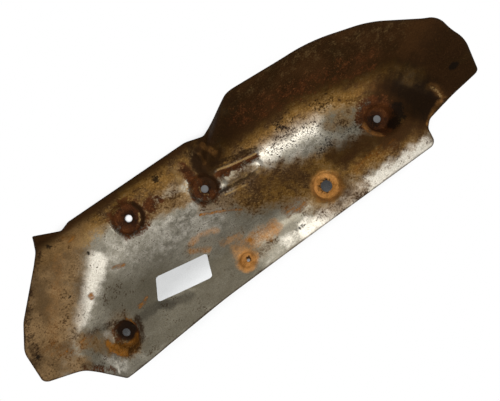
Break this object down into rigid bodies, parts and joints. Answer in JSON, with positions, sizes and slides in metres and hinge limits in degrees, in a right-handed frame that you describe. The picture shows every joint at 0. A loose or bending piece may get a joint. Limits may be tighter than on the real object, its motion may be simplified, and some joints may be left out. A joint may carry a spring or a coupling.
{
  "type": "exhaust heat shield",
  "caption": "Used pressed-steel exhaust heat shield: a rusty open trough with a tall flared wall, a sloping panel with a lip, upturned ends and recessed bolt seats.",
  "frame": {"origin": "centre of the middle low seat's bolt hole, on the underside plane of the low seats", "axes": "+X along the straight lower lip towards the tall end, +Y towards the tall wall, +Z out of the trough, square to the bolt seats"},
  "size_m": [0.4511, 0.1462, 0.0608],
  "materials": {
    "shield_steel": "satin"
  },
  "bodies": {
    "root": {"heat_shield": "shield_steel"}
  },
  "joints": []
}
